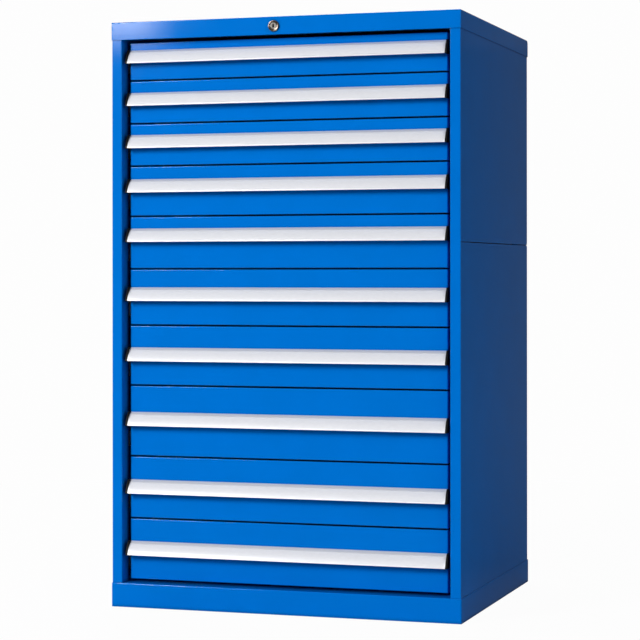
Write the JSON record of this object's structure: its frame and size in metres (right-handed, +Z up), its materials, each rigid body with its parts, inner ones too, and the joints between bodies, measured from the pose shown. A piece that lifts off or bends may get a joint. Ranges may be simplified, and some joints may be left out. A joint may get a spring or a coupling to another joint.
{
  "type": "microscope slide cabinet",
  "caption": "Tall steel cabinet of shallow drawers on full-extension slides, each with a full-width aluminium grip, under one central lock.",
  "frame": {"origin": "on the floor, under the middle of the base's footprint", "axes": "+Z up, +X to the right as seen by someone who faces the drawers, +Y to the rear"},
  "size_m": [0.717, 0.5785, 1.1605],
  "materials": {
    "blue_powder_coat": "semi-gloss powder coat",
    "grey_powder_coat": "matt powder coat",
    "zinc_plated_steel": "bright zinc plating",
    "grip_aluminium": "satin anodised",
    "lock_nickel": "nickel plated"
  },
  "bodies": {
    "cabinet": {"base_plinth": "blue_powder_coat", "floor_pan": "blue_powder_coat", "left_lower_side_panel": "blue_powder_coat", "left_upper_side_panel": "blue_powder_coat", "right_lower_side_panel": "blue_powder_coat", "right_upper_side_panel": "blue_powder_coat", "back_panel": "blue_powder_coat", "top_cover": "blue_powder_coat", "top_rail": "blue_powder_coat", "left_front_post": "blue_powder_coat", "right_front_post": "blue_powder_coat", "rear_posts": "blue_powder_coat", "panel_screws": "zinc_plated_steel", "left_runners": "zinc_plated_steel", "right_runners": "zinc_plated_steel", "lock_housing": "lock_nickel", "lock_guides": "zinc_plated_steel"},
    "drawer_01": {"drawer_01_front": "blue_powder_coat", "drawer_01_tray": "grey_powder_coat", "drawer_01_grip": "grip_aluminium"},
    "carriages_01": {"drawer_01_carriages": "zinc_plated_steel"},
    "drawer_02": {"drawer_02_front": "blue_powder_coat", "drawer_02_tray": "grey_powder_coat", "drawer_02_grip": "grip_aluminium"},
    "carriages_02": {"drawer_02_carriages": "zinc_plated_steel"},
    "drawer_03": {"drawer_03_front": "blue_powder_coat", "drawer_03_tray": "grey_powder_coat", "drawer_03_grip": "grip_aluminium"},
    "carriages_03": {"drawer_03_carriages": "zinc_plated_steel"},
    "drawer_04": {"drawer_04_front": "blue_powder_coat", "drawer_04_tray": "grey_powder_coat", "drawer_04_grip": "grip_aluminium"},
    "carriages_04": {"drawer_04_carriages": "zinc_plated_steel"},
    "drawer_05": {"drawer_05_front": "blue_powder_coat", "drawer_05_tray": "grey_powder_coat", "drawer_05_grip": "grip_aluminium"},
    "carriages_05": {"drawer_05_carriages": "zinc_plated_steel"},
    "drawer_06": {"drawer_06_front": "blue_powder_coat", "drawer_06_tray": "grey_powder_coat", "drawer_06_grip": "grip_aluminium"},
    "carriages_06": {"drawer_06_carriages": "zinc_plated_steel"},
    "drawer_07": {"drawer_07_front": "blue_powder_coat", "drawer_07_tray": "grey_powder_coat", "drawer_07_grip": "grip_aluminium"},
    "carriages_07": {"drawer_07_carriages": "zinc_plated_steel"},
    "drawer_08": {"drawer_08_front": "blue_powder_coat", "drawer_08_tray": "grey_powder_coat", "drawer_08_grip": "grip_aluminium"},
    "carriages_08": {"drawer_08_carriages": "zinc_plated_steel"},
    "drawer_09": {"drawer_09_front": "blue_powder_coat", "drawer_09_tray": "grey_powder_coat", "drawer_09_grip": "grip_aluminium"},
    "carriages_09": {"drawer_09_carriages": "zinc_plated_steel"},
    "drawer_10": {"drawer_10_front": "blue_powder_coat", "drawer_10_tray": "grey_powder_coat", "drawer_10_grip": "grip_aluminium"},
    "carriages_10": {"drawer_10_carriages": "zinc_plated_steel"},
    "lock_plug": {"lock_plug": "lock_nickel", "lock_rod": "zinc_plated_steel"},
    "lock_bar": {"lock_bar": "zinc_plated_steel"}
  },
  "joints": [
    {"name": "drawer_01_slide", "type": "slide", "parent": "cabinet", "child": "drawer_01", "axis": [0, -1, 0], "range_m": [0, 0.459]},
    {"name": "carriages_01_slide", "type": "slide", "parent": "cabinet", "child": "carriages_01", "axis": [0, -1, 0], "range_m": [0, 0.2295]},
    {"name": "drawer_02_slide", "type": "slide", "parent": "cabinet", "child": "drawer_02", "axis": [0, -1, 0], "range_m": [0, 0.459]},
    {"name": "carriages_02_slide", "type": "slide", "parent": "cabinet", "child": "carriages_02", "axis": [0, -1, 0], "range_m": [0, 0.2295]},
    {"name": "drawer_03_slide", "type": "slide", "parent": "cabinet", "child": "drawer_03", "axis": [0, -1, 0], "range_m": [0, 0.459]},
    {"name": "carriages_03_slide", "type": "slide", "parent": "cabinet", "child": "carriages_03", "axis": [0, -1, 0], "range_m": [0, 0.2295]},
    {"name": "drawer_04_slide", "type": "slide", "parent": "cabinet", "child": "drawer_04", "axis": [0, -1, 0], "range_m": [0, 0.459]},
    {"name": "carriages_04_slide", "type": "slide", "parent": "cabinet", "child": "carriages_04", "axis": [0, -1, 0], "range_m": [0, 0.2295]},
    {"name": "drawer_05_slide", "type": "slide", "parent": "cabinet", "child": "drawer_05", "axis": [0, -1, 0], "range_m": [0, 0.459]},
    {"name": "carriages_05_slide", "type": "slide", "parent": "cabinet", "child": "carriages_05", "axis": [0, -1, 0], "range_m": [0, 0.2295]},
    {"name": "drawer_06_slide", "type": "slide", "parent": "cabinet", "child": "drawer_06", "axis": [0, -1, 0], "range_m": [0, 0.459]},
    {"name": "carriages_06_slide", "type": "slide", "parent": "cabinet", "child": "carriages_06", "axis": [0, -1, 0], "range_m": [0, 0.2295]},
    {"name": "drawer_07_slide", "type": "slide", "parent": "cabinet", "child": "drawer_07", "axis": [0, -1, 0], "range_m": [0, 0.459]},
    {"name": "carriages_07_slide", "type": "slide", "parent": "cabinet", "child": "carriages_07", "axis": [0, -1, 0], "range_m": [0, 0.2295]},
    {"name": "drawer_08_slide", "type": "slide", "parent": "cabinet", "child": "drawer_08", "axis": [0, -1, 0], "range_m": [0, 0.459]},
    {"name": "carriages_08_slide", "type": "slide", "parent": "cabinet", "child": "carriages_08", "axis": [0, -1, 0], "range_m": [0, 0.2295]},
    {"name": "drawer_09_slide", "type": "slide", "parent": "cabinet", "child": "drawer_09", "axis": [0, -1, 0], "range_m": [0, 0.459]},
    {"name": "carriages_09_slide", "type": "slide", "parent": "cabinet", "child": "carriages_09", "axis": [0, -1, 0], "range_m": [0, 0.2295]},
    {"name": "drawer_10_slide", "type": "slide", "parent": "cabinet", "child": "drawer_10", "axis": [0, -1, 0], "range_m": [0, 0.459]},
    {"name": "carriages_10_slide", "type": "slide", "parent": "cabinet", "child": "carriages_10", "axis": [0, -1, 0], "range_m": [0, 0.2295]},
    {"name": "lock_turn", "type": "hinge", "parent": "cabinet", "child": "lock_plug", "pos_m": [-0.016, -0.286, 1.142], "axis": [0, 1, 0], "range_deg": [0, 90]},
    {"name": "lock_bar_lift", "type": "slide", "parent": "cabinet", "child": "lock_bar", "axis": [0, 0, 1], "range_m": [0, 0.005]}
  ],
  "couplings": [
    {"joint": "carriages_01_slide", "follows": "drawer_01_slide", "ratio": 0.5},
    {"joint": "carriages_02_slide", "follows": "drawer_02_slide", "ratio": 0.5},
    {"joint": "carriages_03_slide", "follows": "drawer_03_slide", "ratio": 0.5},
    {"joint": "carriages_04_slide", "follows": "drawer_04_slide", "ratio": 0.5},
    {"joint": "carriages_05_slide", "follows": "drawer_05_slide", "ratio": 0.5},
    {"joint": "carriages_06_slide", "follows": "drawer_06_slide", "ratio": 0.5},
    {"joint": "carriages_07_slide", "follows": "drawer_07_slide", "ratio": 0.5},
    {"joint": "carriages_08_slide", "follows": "drawer_08_slide", "ratio": 0.5},
    {"joint": "carriages_09_slide", "follows": "drawer_09_slide", "ratio": 0.5},
    {"joint": "carriages_10_slide", "follows": "drawer_10_slide", "ratio": 0.5},
    {"joint": "lock_turn", "follows": "lock_bar_lift", "rad_per_m": 314.16}
  ]
}
